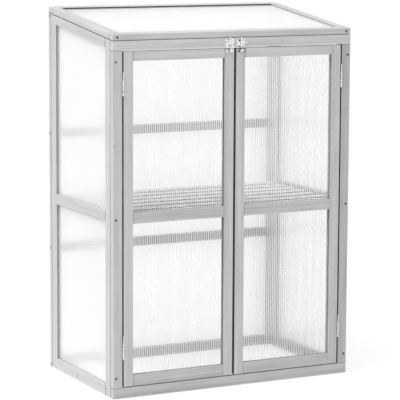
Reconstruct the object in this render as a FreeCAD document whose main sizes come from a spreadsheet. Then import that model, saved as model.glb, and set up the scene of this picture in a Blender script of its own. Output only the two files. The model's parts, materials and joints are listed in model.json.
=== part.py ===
import FreeCAD, Part
import os
import re

import Sketcher
from FreeCAD import Placement, Rotation, Vector

# A wooden mini greenhouse: a framed cabinet glazed with hollow sheet, a pair of doors in front,
# a sloping lid hinged at the back and a slatted shelf that lifts out.
# X runs to the right, Y to the back and Z up. The origin is under the middle of the cabinet.

# Driving sizes in millimetres
SIZES = [
    ("overall_width", 760, "outside width"),
    ("overall_depth", 460, "depth over the front and back frames"),
    ("front_height", 1007.5, "height of the cabinet's top at the front face"),
    ("roof_rise", 56.5, "how much higher the cabinet's top is at the back face"),
    ("lath_thickness", 18, "thickness of every frame around the cabinet"),
    ("front_stile_width", 28, "front frame, uprights"),
    ("front_top_rail_width", 27, "front frame, rail over the doors"),
    ("front_bottom_rail_width", 30, "front frame, rail under the doors"),
    ("side_stile_width", 35, "side frames, uprights"),
    ("side_top_rail_width", 27, "side frames, sloping rail"),
    ("side_mid_rail_width", 31, "side frames, rail at the shelf"),
    ("side_mid_rail_height", 500, "underside of that rail above the ground"),
    ("side_bottom_rail_width", 33, "side frames, rail on the ground"),
    ("back_stile_width", 28, "back frame, uprights"),
    ("back_top_rail_width", 28, "back frame, rail under the lid"),
    ("back_rail_width", 27, "back frame, the two rails between the panes"),
    ("back_upper_rail_height", 693, "underside of the upper of them"),
    ("back_lower_rail_height", 349, "underside of the lower of them"),
    ("back_bottom_rail_width", 30, "back frame, rail on the ground"),
    ("door_stile_width", 29, "doors, uprights"),
    ("door_top_rail_width", 27, "doors, top rail"),
    ("door_mid_rail_width", 31, "doors, middle rail"),
    ("door_mid_rail_height", 496, "underside of that rail above the ground"),
    ("door_bottom_rail_width", 32, "doors, bottom rail"),
    ("door_end_gap", 2.5, "gap over and under the doors"),
    ("meeting_gap", 7, "gap between the two doors"),
    ("pane_thickness", 4, "thickness of the hollow sheet"),
    ("flute_pitch", 6, "from rib to rib inside the hollow sheet"),
    ("sheet_wall", 0.35, "walls and ribs of the hollow sheet"),
    ("pane_recess", 7, "how far a pane lies behind the outer face of its frame"),
    ("groove_depth", 7, "depth of the grooves that hold the panes"),
    ("groove_clearance", 0.2, "play of a pane in its groove, each side"),
    ("pane_edge_clearance", 0.5, "play between a pane's edge and its groove"),
    ("lid_thickness", 18, "thickness of the lid's rails"),
    ("lid_rail_width", 28, "width of the lid's rails"),
    ("lid_pane_recess", 5, "how far the roof pane lies under the lid's top"),
    ("lid_seat", 0.3, "clearance between the lid and the cabinet's top"),
    ("slat_count", 7, "slats of the shelf"),
    ("slat_width", 40, "width of a slat"),
    ("slat_thickness", 9, "thickness of a slat"),
    ("shelf_height", 513, "top of the ledgers that carry the shelf"),
    ("shelf_end_clearance", 4, "between the slats' ends and the side frames"),
    ("shelf_edge_clearance", 5, "in front of the first slat and behind the last"),
    ("batten_width", 25, "battens under the slats"),
    ("batten_height", 15, "height of the battens"),
    ("batten_inset", 48, "from the slats' ends to a batten"),
    ("ledger_width", 18, "ledgers on the side frames"),
    ("ledger_height", 20, "height of the ledgers"),
    ("hinge_length", 45, "length of every hinge"),
    ("hinge_gap", 4.6, "gap between a door and its frame at the hinges, filled by the folded leaves"),
    ("hinge_leaf_thickness", 1.2, "sheet of the hinge leaves"),
    ("hinge_leaf_width", 15, "from the pin's axis to the free edge of a leaf"),
    ("hinge_end_inset", 101, "from a door's end to the middle of its hinge"),
    ("lid_hinge_inset", 100, "from the cabinet's side to the middle of a lid hinge"),
    ("hinge_screw_spacing", 24, "between the two screws of a leaf"),
    ("hinge_screw_reach", 9.5, "from the pin's axis to the screws of a leaf"),
    ("knuckle_face_gap", 0.3, "between a knuckle and the wood beside it"),
    ("knuckle_end_gap", 0.2, "between neighbouring knuckles"),
    ("pin_radius", 1, "hinge pins"),
    ("pin_fit", 0.05, "running clearance of a pin in its knuckles"),
    ("screw_length", 42, "long screws through the frames"),
    ("screw_radius", 1.75, "shank of a long screw"),
    ("screw_head_radius", 3.4, "countersunk head of a long screw"),
    ("screw_head_height", 2.4, "height of that head"),
    ("screw_sink", 1.5, "how deep the long screws are sunk below the wood"),
    ("screw_end_inset", 58.5, "from the cabinet's foot or head to the outer screws of its frames"),
    ("screw_mid_height", 509, "middle screws of the frames above the ground"),
    ("rail_end_screw_inset", 8, "screws of the lowest and highest back rail from its outer edge"),
    ("small_screw_length", 12, "screws of the hinges and bolts"),
    ("small_screw_radius", 1.3, "shank of a small screw"),
    ("small_screw_head_radius", 2.4, "countersunk head of a small screw"),
    ("recess_width", 0.8, "slots of the cross recess in a screw head"),
    ("recess_depth", 0.8, "depth of that recess"),
    ("bolt_plate_width", 26, "backing plate of a door bolt"),
    ("bolt_plate_height", 24, "height of that plate"),
    ("bolt_plate_lift", 0.5, "plate above the lower edge of the rail it sits on"),
    ("bolt_sheet", 1, "sheet of the plates and of the straps over the rod"),
    ("bolt_screw_side", 9.5, "from the rod's axis to the screws of a plate"),
    ("bolt_screw_end", 4, "from a plate's end to its screws"),
    ("rod_radius", 2.5, "rod of a door bolt"),
    ("rod_fit", 0.1, "running clearance of the rod in its straps"),
    ("rod_tip_drop", 2.3, "rod's tip below the rail when it is drawn back"),
    ("rod_length", 30.3, "length of the rod"),
    ("bolt_travel", 6, "stroke of the rod"),
    ("strap_height", 3.5, "the two straps over the rod"),
    ("strap_end_gap", 0.5, "lower strap above the plate's lower end"),
    ("handle_radius", 1.5, "bent handle of the rod"),
    ("handle_clearance", 0.3, "between the handle and the straps at both ends of its stroke"),
    ("handle_reach", 14, "from the rod's axis to the bend of its handle"),
    ("handle_turn_up", 6, "length of the handle past the bend"),
    ("keeper_drop", 1, "keeper below the upper end of its door"),
    ("keeper_height", 10.5, "plate of the keeper"),
    ("keeper_strap_height", 8, "strap of the keeper"),
    ("keeper_fit", 0.4, "clearance of the rod in its keeper"),
]

# Lengths that only help to cut and never show
CUT_MARGIN = 20
ALIASES = {name for name, value, note in SIZES}

doc = FreeCAD.newDocument("mini_greenhouse")
sheet = doc.addObject("Spreadsheet::Sheet", "Sizes")
for row, (alias, value, note) in enumerate(SIZES, start=1):
    sheet.set(f"A{row}", alias)
    sheet.set(f"B{row}", str(value))
    sheet.setAlias(f"B{row}", alias)
    sheet.set(f"C{row}", note)
doc.recompute()

pieces = []


# Sizes that follow from the driving ones, as expressions for the sheet

FRONT = "(-overall_depth / 2)"
BACK = "(overall_depth / 2)"
SLOPE = "(roof_rise / overall_depth)"
ROOF = "atan(roof_rise / overall_depth)"
INNER_FRONT = f"({FRONT} + lath_thickness)"
INNER_BACK = f"({BACK} - lath_thickness)"
INNER_DEPTH = "(overall_depth - 2 * lath_thickness)"
RAIL_FRONT = f"({INNER_FRONT} + side_stile_width)"
RAIL_BACK = f"({INNER_BACK} - side_stile_width)"
FRONT_OPENING_TOP = "(front_height - front_top_rail_width)"
DOOR_BOTTOM = "(front_bottom_rail_width + door_end_gap)"
DOOR_TOP = f"({FRONT_OPENING_TOP} - door_end_gap)"
DOOR_WIDTH = "((overall_width - 2 * front_stile_width - 2 * hinge_gap - meeting_gap) / 2)"
PIN_STANDOFF = "(hinge_gap / 2)"
KNUCKLE_RADIUS = f"({PIN_STANDOFF} - knuckle_face_gap)"
LID_LENGTH = f"((overall_depth - lid_thickness * sin({ROOF})) / cos({ROOF}))"
SLAT_LENGTH = "(overall_width - 2 * lath_thickness - 2 * shelf_end_clearance)"
SMALL_HEAD_HEIGHT = "hinge_leaf_thickness"


def roof_at(y):
    """Height of the cabinet's sloping top above a place along Y."""
    return f"(front_height + ({y} - {FRONT}) * {SLOPE})"


def linked(text):
    """The same expression with every size read from the sheet."""
    return re.sub(r"[a-z_]+", lambda word: f"Sizes.{word[0]}" if word[0] in ALIASES else word[0], str(text))


def bind(obj, prop, text):
    obj.setExpression(prop, linked(text))


def number(text):
    """Present value of an expression."""
    return float(sheet.evalExpression(linked(text)))


def put(obj, at, turn=None):
    """Place an object by three expressions, and turn it where a rotation is given."""
    obj.Placement = Placement(Vector(), turn or Rotation())
    for axis, text in zip("xyz", at):
        bind(obj, f"Placement.Base.{axis}", text)
    return obj


def tilt_with_roof(obj, x, along, above):
    """Place an object in the lid's plane: along runs up the slope from the front, above stands on it."""
    y = f"{FRONT} + lid_thickness * sin({ROOF}) + ({along}) * cos({ROOF}) - ({above}) * sin({ROOF})"
    z = f"{roof_at(FRONT)} + lid_thickness * sin({ROOF}) * {SLOPE} + lid_seat / cos({ROOF})"
    put(obj, (x, y, f"{z} + ({along}) * sin({ROOF}) + ({above}) * cos({ROOF})"), Rotation(Vector(1, 0, 0), 1))
    bind(obj, "Placement.Rotation.Angle", ROOF)
    return obj


# Building blocks

def box(label, middle, front, bottom, width, depth, height):
    """A box given by the middle of its width, its front and its underside."""
    solid = doc.addObject("Part::Box", label)
    for prop, text in (("Length", width), ("Width", depth), ("Height", height)):
        bind(solid, prop, text)
    return put(solid, (f"{middle} - ({width}) / 2", front, bottom))


def lid_box(label, middle, along, above, width, depth, height):
    """A box that lies in the lid's plane."""
    solid = box(label, middle, "0", "0", width, depth, height)
    return tilt_with_roof(solid, f"{middle} - ({width}) / 2", along, above)


def cylinder(label, radius, height, at=("0", "0", "0"), turn=None):
    solid = doc.addObject("Part::Cylinder", label)
    bind(solid, "Radius", radius)
    bind(solid, "Height", height)
    return put(solid, at, turn)


def fuse(label, *shapes):
    joined = doc.addObject("Part::MultiFuse", label)
    joined.Shapes = list(shapes)
    return joined


def group(label, shapes):
    """Several separate solids as one object."""
    compound = doc.addObject("Part::Compound", label)
    compound.Links = list(shapes)
    return compound


def carve(label, blank, *tools):
    """Cut the tools out of a blank, one after another; the last cut carries the label."""
    for step, tool in enumerate(tools, start=1):
        cut = doc.addObject("Part::Cut", label if step == len(tools) else f"{label}_cut_{step}")
        cut.Base = blank
        cut.Tool = tool
        blank = cut
    return blank


def instance(label, master, at, turn=None):
    """One more copy of a master piece."""
    link = doc.addObject("App::Link", label)
    link.LinkedObject = master
    return put(link, at, turn)


def piece(label, shape):
    """Keep a finished shape as a sub-part under its own name."""
    shape.Label = label
    pieces.append(shape)
    return shape


def draw(body, plane_role, corners):
    """Sketch a closed outline on a body's own plane, every corner tied to the sheet."""
    sketch = body.newObject("Sketcher::SketchObject", f"{body.Name}_outline")
    plane = next(f for f in body.Origin.OriginFeatures if f.Role == plane_role)
    sketch.AttachmentSupport = (plane, [""])
    sketch.MapMode = "FlatFace"
    points = [Vector(number(across), number(up), 0) for across, up in corners]
    count = len(points)
    for index, point in enumerate(points):
        sketch.addGeometry(Part.LineSegment(point, points[(index + 1) % count]), False)
    for index, (across, up) in enumerate(corners):
        sketch.addConstraint(Sketcher.Constraint("Coincident", index, 2, (index + 1) % count, 1))
        for kind, text, value in (("DistanceX", across, points[index].x), ("DistanceY", up, points[index].y)):
            constraint = sketch.addConstraint(Sketcher.Constraint(kind, -1, 1, index, 1, value))
            sketch.renameConstraint(constraint, f"{kind}{index}")
            bind(sketch, f"Constraints.{kind}{index}", text)
    return sketch


def slab(label, middle, corners, thickness):
    """A board with a side view given by its corners in Y and Z, padded along X."""
    body = doc.addObject("PartDesign::Body", label)
    pad = body.newObject("PartDesign::Pad", f"{label}_pad")
    pad.Profile = draw(body, "YZ_Plane", corners)
    bind(pad, "Length", thickness)
    return put(body, (f"{middle} - ({thickness}) / 2", "0", "0"))


def turned(label, corners):
    """A solid of revolution about Z from its half outline in X and Z."""
    body = doc.addObject("PartDesign::Body", label)
    sketch = draw(body, "XZ_Plane", corners)
    turn = body.newObject("PartDesign::Revolution", f"{label}_turn")
    turn.Profile = sketch
    turn.ReferenceAxis = (sketch, ["V_Axis"])
    return body


# Screws: the head's top is at the origin and the shank runs along +Z into the wood

def screw_master(label, length, radius, head_radius, head_height):
    tip = f"({length}) - 2 * ({radius})"
    blank = turned(f"{label}_blank", [
        ("0", "0"), (head_radius, "0"), (radius, head_height), (radius, tip), ("0", length)])
    slots = []
    across = f"({head_radius})"
    for axis, width, depth in (("x", across, "recess_width"), ("y", "recess_width", across)):
        slots.append(box(f"{label}_slot_{axis}", "0", f"-({depth}) / 2", "0", width, depth, "recess_depth"))
    return carve(label, blank, fuse(f"{label}_recess", *slots))


def screw_way_master(label, length, radius, head_radius, head_height, sink):
    """Space that a screw needs: its own solid, and the bore over its sunk head."""
    tip = f"({length}) - 2 * ({radius})"
    return turned(label, [
        ("0", f"-({sink})"), (head_radius, f"-({sink})"), (head_radius, "0"),
        (radius, head_height), (radius, tip), ("0", length)])


LONG_SCREW = ("screw_length", "screw_radius", "screw_head_radius", "screw_head_height")
SMALL_SCREW = ("small_screw_length", "small_screw_radius", "small_screw_head_radius", SMALL_HEAD_HEIGHT)
long_screw = screw_master("long_screw", *LONG_SCREW)
long_screw_way = screw_way_master("long_screw_way", *LONG_SCREW, "screw_sink + 1")
small_screw = screw_master("small_screw", *SMALL_SCREW)
small_screw_way = screw_way_master("small_screw_way", *SMALL_SCREW, "1")

INTO_BACK = Rotation(Vector(0, 0, 1), Vector(0, 1, 0))
INTO_FRONT = Rotation(Vector(0, 0, 1), Vector(0, -1, 0))
INTO_SIDE = {-1: Rotation(Vector(0, 0, 1), Vector(1, 0, 0)), 1: Rotation(Vector(0, 0, 1), Vector(-1, 0, 0))}


def screws_and_ways(label, masters, places):
    """The screws at a list of places, and the space that they need in the pieces they join."""
    rows = []
    for master, suffix in zip(masters, ("screw", "way")):
        copies = [instance(f"{label}_{suffix}_{index}", master, at, turn)
                  for index, (at, turn) in enumerate(places, start=1)]
        rows.append(copies)
    return rows[0], group(f"{label}_ways", rows[1])


# Roof plane: everything above it is cut away from the cabinet's over-long pieces

above_roof = lid_box("above_roof", "0", "-overall_depth / 2", "-lid_seat",
                     f"overall_width + {CUT_MARGIN}", "2 * overall_depth", "front_height / 2")


# Panes and the grooves that hold them

PANE_REACH = "(groove_depth - pane_edge_clearance)"
GROOVE_WIDTH = "(pane_thickness + 2 * groove_clearance)"
GROOVE_RECESS = "(pane_recess - groove_clearance)"


def rectangle(left, right, front, back):
    corners = [Vector(left, front), Vector(right, front), Vector(right, back), Vector(left, back)]
    return Part.makePolygon(corners + corners[:1])


def hollow_sheet(label, width, run):
    """A sheet across X and up Z with its outer face at Y = 0, and hollow channels along Z between ribs."""
    width, pitch = number(width), number("flute_pitch")
    wall, thickness = number("sheet_wall"), number("pane_thickness")
    count = int((width - wall) // pitch)
    start = (wall - count * pitch) / 2
    holes = [rectangle(start + index * pitch, start + (index + 1) * pitch - wall, wall, thickness - wall)
             for index in range(count)]
    outline = rectangle(-width / 2, width / 2, 0, thickness)
    section = Part.makeFace([outline] + holes, "Part::FaceMakerBullseye")
    pane = doc.addObject("Part::Feature", label)
    pane.Shape = section.extrude(Vector(0, 0, number(run)))
    return pane


def upright_pane(label, outer_face, inwards, middle, span):
    """A rectangular pane across the cabinet, and its groove; span is its opening's width, foot and head."""
    width, low, high = span
    front = {}
    recesses = {"pane": ("pane_recess", "pane_thickness"), "groove": (GROOVE_RECESS, GROOVE_WIDTH)}
    for kind, (depth, thickness) in recesses.items():
        front[kind] = f"{outer_face} + {depth}" if inwards > 0 else f"{outer_face} - {depth} - {thickness}"
    tall = f"({high} - {low})"
    pane = put(hollow_sheet(label, f"{width} + 2 * {PANE_REACH}", f"{tall} + 2 * {PANE_REACH}"),
               (middle, front["pane"], f"{low} - {PANE_REACH}"))
    groove = box(f"{label}_groove", middle, front["groove"], f"{low} - groove_depth",
                 f"{width} + 2 * groove_depth", GROOVE_WIDTH, f"{tall} + 2 * groove_depth")
    return pane, groove


def side_pane(label, side, low, high_front, high_back):
    """A pane in a side frame, with a level foot and a head that may slope, and its groove."""
    slope = f"(({high_back} - {high_front}) / ({RAIL_BACK} - {RAIL_FRONT}))"

    def outline(reach):
        return [(f"{RAIL_FRONT} - {reach}", f"{low} - {reach}"),
                (f"{RAIL_BACK} + {reach}", f"{low} - {reach}"),
                (f"{RAIL_BACK} + {reach}", f"{high_back} + {reach} * (1 + {slope})"),
                (f"{RAIL_FRONT} - {reach}", f"{high_front} + {reach} * (1 - {slope})")]
    outer = f"{side} * (overall_width / 2 - pane_recess)"
    groove = slab(f"{label}_groove", f"{side} * (overall_width / 2 - {GROOVE_RECESS} - {GROOVE_WIDTH} / 2)",
                  outline("groove_depth"), GROOVE_WIDTH)
    level = number(high_front) == number(high_back)
    full = hollow_sheet(label if level else f"{label}_blank",
                        f"{RAIL_BACK} - {RAIL_FRONT} + 2 * {PANE_REACH}",
                        f"{high_back} - {low} + {PANE_REACH} * (2 + {slope})")
    put(full, (outer, f"({RAIL_BACK} + {RAIL_FRONT}) / 2", f"{low} - {PANE_REACH}"),
        Rotation(Vector(0, 0, 1), -90 * side + 180))
    if level:
        return full, groove
    front, back = f"{RAIL_FRONT} - 2 * groove_depth", f"{RAIL_BACK} + 2 * groove_depth"
    head = slab(f"{label}_head", f"{side} * (overall_width / 2 - pane_recess - pane_thickness / 2)",
                [(front, f"{high_front} + {PANE_REACH} - 2 * groove_depth * {slope}"),
                 (back, f"{high_back} + {PANE_REACH} + 2 * groove_depth * {slope}"),
                 (back, f"{high_back} + {CUT_MARGIN}"),
                 (front, f"{high_back} + {CUT_MARGIN}")], "2 * pane_thickness")
    return carve(label, full, head), groove


def roof_pane(label, width, start, end):
    """The lid's pane and its groove, with the channels running down the slope."""
    run = f"({end} - {start})"
    pane = hollow_sheet(label, f"{width} + 2 * {PANE_REACH}", f"{run} + 2 * {PANE_REACH}")
    tilt_with_roof(pane, "0", f"{start} - {PANE_REACH}", "lid_thickness - lid_pane_recess")
    bind(pane, "Placement.Rotation.Angle", f"{ROOF} - 90 * 1 deg")
    groove = lid_box(f"{label}_groove", "0", f"{start} - groove_depth",
                     "lid_thickness - lid_pane_recess - pane_thickness - groove_clearance",
                     f"{width} + 2 * groove_depth", f"{run} + 2 * groove_depth", GROOVE_WIDTH)
    return pane, groove


# Long screws of the cabinet

def frame_screw_places():
    """Screws through the front and back frames into the side frames, and through the back stiles."""
    places = []
    heights = ("screw_end_inset", "screw_mid_height", "front_height - screw_end_inset")
    rail_heights = {name: f"{low} + {width} / 2" for name, (low, width) in BACK_RAILS.items()}
    rail_heights["bottom"] = "rail_end_screw_inset"
    rail_heights["top"] = f"{roof_at(INNER_BACK)} - rail_end_screw_inset"
    for side in (-1, 1):
        x = f"{side} * (overall_width - lath_thickness) / 2"
        for height in heights:
            places.append(((x, f"{FRONT} + screw_sink", height), INTO_BACK))
            places.append(((x, f"{BACK} - screw_sink", height), INTO_FRONT))
        for height in rail_heights.values():
            x_end = f"{side} * (overall_width / 2 - screw_sink)"
            places.append(((x_end, f"{BACK} - lath_thickness / 2", height), INTO_SIDE[side]))
    return places


BACK_RAILS = {
    "bottom": ("0", "back_bottom_rail_width"),
    "lower": ("back_lower_rail_height", "back_rail_width"),
    "upper": ("back_upper_rail_height", "back_rail_width"),
    "top": (f"({roof_at(INNER_BACK)} - back_top_rail_width)", "back_top_rail_width"),
}
frame_screws, frame_screw_ways = screws_and_ways(
    "frame_screws", (long_screw, long_screw_way), frame_screw_places())


# Hinges: in a leaf's own frame the pin is the Z axis, the wood lies at +X and the leaf runs along +Y

def hinge_leaf_master(label, knuckles):
    """A leaf with its knuckles at the given thirds of its length, counted from below."""
    plate = box(f"{label}_plate", f"{PIN_STANDOFF} - hinge_leaf_thickness / 2", "0", "-hinge_length / 2",
                "hinge_leaf_thickness", "hinge_leaf_width", "hinge_length")
    tube = cylinder(f"{label}_tube", KNUCKLE_RADIUS, "hinge_length", ("0", "0", "-hinge_length / 2"))
    bore = cylinder(f"{label}_bore", "pin_radius + pin_fit", f"hinge_length + {CUT_MARGIN}",
                    ("0", "0", f"-(hinge_length + {CUT_MARGIN}) / 2"))
    ways = []
    for third in {0, 1, 2} - set(knuckles):
        low = f"-hinge_length / 2 + {third} * hinge_length / 3 - knuckle_end_gap"
        reach = f"({KNUCKLE_RADIUS} + knuckle_face_gap)"
        ways.append(box(f"{label}_way_{third}", "0", f"-{reach}", low, f"2 * {reach}", f"2 * {reach}",
                        "hinge_length / 3 + 2 * knuckle_end_gap"))
    holes = [instance(f"{label}_hole_{index}", small_screw_way, at, turn)
             for index, (at, turn) in enumerate(LEAF_SCREWS, start=1)]
    blank = fuse(f"{label}_blank", plate, tube)
    return carve(label, blank, bore, group(f"{label}_ways", ways), group(f"{label}_holes", holes))


LEAF_SCREWS = [
    ((f"{PIN_STANDOFF} - hinge_leaf_thickness", "hinge_screw_reach", f"{end} * hinge_screw_spacing / 2"),
     INTO_SIDE[-1]) for end in (-1, 1)]
fixed_leaf = hinge_leaf_master("fixed_leaf", (0, 2))
moving_leaf = hinge_leaf_master("moving_leaf", (1,))
hinge_pin = cylinder("hinge_pin_master", "pin_radius", "hinge_length", ("0", "0", "-hinge_length / 2"))
leaf_screws = group("leaf_screws", [instance(f"leaf_screw_{index}", small_screw, at, turn)
                                    for index, (at, turn) in enumerate(LEAF_SCREWS, start=1)])
leaf_screw_ways = group("leaf_screw_ways", [instance(f"leaf_screw_way_{index}", small_screw_way, at, turn)
                                            for index, (at, turn) in enumerate(LEAF_SCREWS, start=1)])

HALF_TURN = Rotation(Vector(0, 1, 0), 180)
PIN_Y = f"({FRONT} - {PIN_STANDOFF})"
DOOR_HINGE_HEIGHTS = (f"{DOOR_BOTTOM} + hinge_end_inset", f"{DOOR_TOP} - hinge_end_inset")
# The lid's pin lies in the corner between the back face and the lid's own back face
LID_PIN_RISE = f"(lid_seat / cos({ROOF}) + {PIN_STANDOFF} * tan({ROOF} / 2))"
LID_PIN = (f"({BACK} + {PIN_STANDOFF})", f"({roof_at(BACK)} + {LID_PIN_RISE})")
LEAF_DOWN = Rotation(Vector(0, -1, 0), Vector(0, 0, -1), Vector(1, 0, 0), "XYZ")
LEAF_UP = Rotation(Vector(0, -1, 0), Vector(0, 0, 1), Vector(-1, 0, 0), "XYZ")


def door_hinge_places(side):
    x = f"{side} * (overall_width / 2 - front_stile_width - {PIN_STANDOFF})"
    return [(x, PIN_Y, height) for height in DOOR_HINGE_HEIGHTS]


def lid_hinge_places():
    return [(f"{side} * (overall_width / 2 - lid_hinge_inset)", *LID_PIN) for side in (-1, 1)]


def hinge_set(label, master, places):
    return [instance(f"{label}_{index}", master, at, turn)
            for index, (at, turn) in enumerate(places, start=1)]


# Door bolts: in a bolt's own frame the rod's axis is at X = 0, the wood's face at Y = 0,
# and Z = 0 is the lower edge of the rail that carries the plate

ROD_Y = "(-(bolt_sheet + rod_fit + rod_radius))"
STRAP_RADIUS = "(rod_radius + rod_fit + bolt_sheet)"
LOWER_STRAP = "(bolt_plate_lift + strap_end_gap)"
HANDLE_SHOT = f"({LOWER_STRAP} + strap_height + handle_clearance + handle_radius)"
HANDLE_DRAWN = f"({HANDLE_SHOT} + bolt_travel)"
UPPER_STRAP = f"({HANDLE_DRAWN} + handle_radius + handle_clearance)"
KEEPER_TOP = "(-door_end_gap - keeper_drop)"
BOLT_SCREW_HEIGHTS = ("bolt_plate_lift + bolt_screw_end",
                      "bolt_plate_lift + bolt_plate_height - bolt_screw_end")
KEEPER_SCREW_HEIGHTS = (f"{KEEPER_TOP} - keeper_height / 2",)


def bolt_screw_places(heights):
    return [((f"{side} * bolt_screw_side", "-bolt_sheet", height), INTO_BACK)
            for side in (-1, 1) for height in heights]


def strap(label, low, height):
    block = box(f"{label}_block", "0", ROD_Y, low, f"2 * {STRAP_RADIUS}", f"-{ROD_Y}", height)
    crown = cylinder(f"{label}_crown", STRAP_RADIUS, height, ("0", ROD_Y, low))
    return fuse(label, block, crown)


def screwed_plate(label, low, height, loops, passage, screw_heights):
    """A backing plate with loops, with the rod's passage and the screw holes cut out."""
    plate = box(f"{label}_plate", "0", "-bolt_sheet", low, "bolt_plate_width", "bolt_sheet", height)
    holes = [instance(f"{label}_hole_{index}", small_screw_way, at, turn)
             for index, (at, turn) in enumerate(bolt_screw_places(screw_heights), start=1)]
    return carve(label, fuse(f"{label}_blank", plate, *loops), passage, group(f"{label}_holes", holes))


def bolt_plate_master(label):
    """The plate on the rail, with two round straps bored for the rod."""
    loops = [strap(f"{label}_strap_{index}", low, "strap_height")
             for index, low in enumerate((LOWER_STRAP, UPPER_STRAP), start=1)]
    bore = cylinder(f"{label}_bore", "rod_radius + rod_fit", f"bolt_plate_height + {CUT_MARGIN}",
                    ("0", ROD_Y, f"bolt_plate_lift - {CUT_MARGIN} / 2"))
    return screwed_plate(label, "bolt_plate_lift", "bolt_plate_height", loops, bore, BOLT_SCREW_HEIGHTS)


def keeper_master(label):
    """The plate on the door, with a square staple that the rod drops through."""
    low = f"{KEEPER_TOP} - keeper_height"
    staple_low = f"{KEEPER_TOP} - (keeper_height + keeper_strap_height) / 2"
    half = "(rod_radius + keeper_fit)"
    reach = f"(-{ROD_Y} + {half})"
    staple = box(f"{label}_staple", "0", f"-{reach} - bolt_sheet", staple_low, f"2 * ({half} + bolt_sheet)",
                 f"{reach} + bolt_sheet", "keeper_strap_height")
    passage = box(f"{label}_passage", "0", f"-{reach}", f"{low} - {CUT_MARGIN} / 2", f"2 * {half}",
                  f"{reach} - bolt_sheet", f"keeper_height + {CUT_MARGIN}")
    return screwed_plate(label, low, "keeper_height", [staple], passage, KEEPER_SCREW_HEIGHTS)


def bolt_rod_master(label, lean):
    """The rod with its handle, which points down when lean is -1 and up when it is 1."""
    rod = cylinder(f"{label}_rod", "rod_radius", "rod_length", ("0", ROD_Y, "-rod_tip_drop"))
    out = Rotation(Vector(0, 0, 1), Vector(lean, -1, 0))
    arm = cylinder(f"{label}_arm", "handle_radius", "handle_reach", ("0", ROD_Y, HANDLE_DRAWN), out)
    share = "handle_reach / sqrt(2)"
    bend_at = (f"{lean} * {share}", f"{ROD_Y} - {share}", HANDLE_DRAWN)
    bend = doc.addObject("Part::Sphere", f"{label}_bend")
    bind(bend, "Radius", "handle_radius")
    put(bend, bend_at)
    up = Rotation(Vector(0, 0, 1), Vector(lean, -1, 2 * lean))
    tail = cylinder(f"{label}_tail", "handle_radius", "handle_turn_up", bend_at, up)
    return fuse(label, rod, arm, bend, tail)


bolt_plate = bolt_plate_master("bolt_plate_master")
keeper = keeper_master("keeper_master")
bolt_rods = {side: bolt_rod_master(f"bolt_rod_master_{name}", side)
             for side, name in ((-1, "left"), (1, "right"))}


def bolt_at(side):
    x = f"{side} * (meeting_gap + door_stile_width) / 2"
    return x, FRONT, FRONT_OPENING_TOP


def bolt_screw_sets(label, heights, side):
    """Screws of a plate or keeper, and their ways, carried to the bolt's place."""
    sets = []
    for master, suffix in ((small_screw, "screws"), (small_screw_way, "ways")):
        local = [instance(f"{label}_{suffix}_{index}", master, at, turn)
                 for index, (at, turn) in enumerate(bolt_screw_places(heights), start=1)]
        sets.append(instance(f"{label}_{suffix}", group(f"{label}_{suffix}_local", local), bolt_at(side)))
    return sets


# Small screws of the cabinet: fixed hinge leaves, lower lid leaves and bolt plates

fixed_places = [(at, Rotation() if side > 0 else HALF_TURN)
                for side in (-1, 1) for at in door_hinge_places(side)]
lid_low_places = [(at, LEAF_DOWN) for at in lid_hinge_places()]
plate_screws = [bolt_screw_sets(f"plate_{side + 1}", BOLT_SCREW_HEIGHTS, side) for side in (-1, 1)]
door_leaf_ways = group("door_leaf_ways", hinge_set("fixed_leaf_way", leaf_screw_ways, fixed_places))
lid_leaf_ways = group("lid_leaf_ways", hinge_set("lid_leaf_way", leaf_screw_ways, lid_low_places))
plate_ways = group("plate_ways", [ways for screws, ways in plate_screws])


# Front frame

def front_frame():
    inner = "(overall_width - 2 * front_stile_width)"
    piece("front_bottom_rail", box("front_bottom_rail", "0", FRONT, "0", "overall_width", "lath_thickness",
                                   "front_bottom_rail_width"))
    rail = box("front_top_rail_blank", "0", FRONT, FRONT_OPENING_TOP, "overall_width", "lath_thickness",
               f"front_top_rail_width + lath_thickness * {SLOPE}")
    piece("front_top_rail", carve("front_top_rail", rail, above_roof, plate_ways))
    for side, name in ((-1, "left"), (1, "right")):
        label = f"front_{name}_stile"
        stile = box(f"{label}_blank", f"{side} * ({inner} + front_stile_width) / 2", FRONT,
                    "front_bottom_rail_width", "front_stile_width", "lath_thickness",
                    f"{FRONT_OPENING_TOP} - front_bottom_rail_width")
        piece(label, carve(label, stile, frame_screw_ways, door_leaf_ways))


# Side frames

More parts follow.
